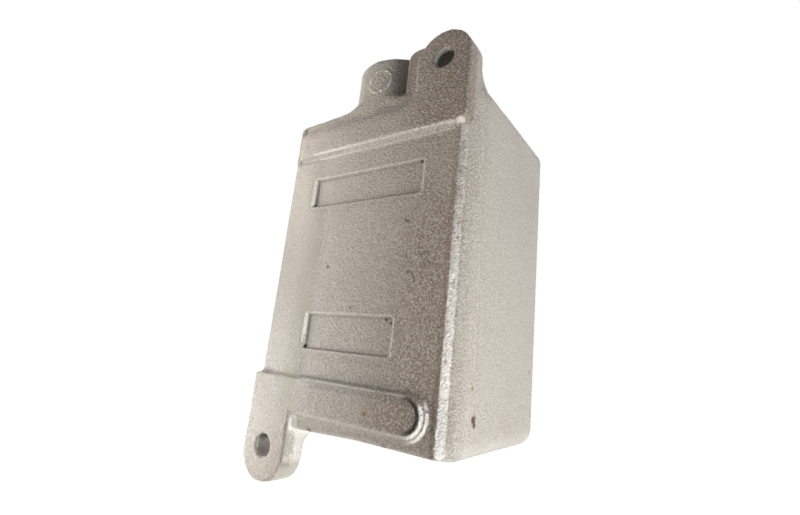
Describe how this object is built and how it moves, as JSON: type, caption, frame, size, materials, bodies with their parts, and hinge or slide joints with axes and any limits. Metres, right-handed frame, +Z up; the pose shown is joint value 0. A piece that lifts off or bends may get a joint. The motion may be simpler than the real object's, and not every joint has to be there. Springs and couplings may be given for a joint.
{
  "type": "pushbutton enclosure",
  "caption": "Cast wall-mounted pushbutton enclosure with diagonal mounting ears, a top conduit hub, a bolted cover and a sprung button that works a contact block.",
  "frame": {"origin": "midway between the two wall holes, on the plane of the wall pads", "axes": "+Z up towards the conduit hub, +Y into the wall, -Y the front with the button"},
  "size_m": [0.0886, 0.0909, 0.1628],
  "materials": {
    "casting": "sand cast, silver finish with light rust spots",
    "fastener": "zinc plated",
    "spring": "drawn wire",
    "gasket": "matt",
    "operator": "die cast",
    "ring": "bright plated",
    "legend": "satin, blank",
    "button": "moulded black",
    "block": "moulded brown",
    "contact": "stamped",
    "earth": "green"
  },
  "bodies": {
    "enclosure": {"body_casting": "casting", "cover": "casting", "cover_gasket": "gasket", "cover_screws": "fastener", "cover_washers": "fastener", "operator_body": "operator", "operator_gasket": "gasket", "legend_plate": "legend", "mounting_ring": "ring", "return_spring": "spring", "contact_housing": "block", "contact_base": "block", "block_screws": "fastener", "carrier_spring": "spring", "fixed_contacts": "contact", "terminal_clamps": "fastener", "terminal_screws": "fastener", "earth_screw": "earth", "earth_washer": "fastener"},
    "button": {"button_cap": "button", "button_stem": "fastener", "stem_clip": "fastener", "contact_carrier": "block", "bridge_contact": "contact"}
  },
  "joints": [
    {"name": "button_press", "type": "slide", "parent": "enclosure", "child": "button", "axis": [0, 1, 0], "range_m": [0, 0.005], "stiffness_N_per_m": 1200, "springref_m": -0.005, "deforming": ["return_spring", "carrier_spring"]}
  ]
}
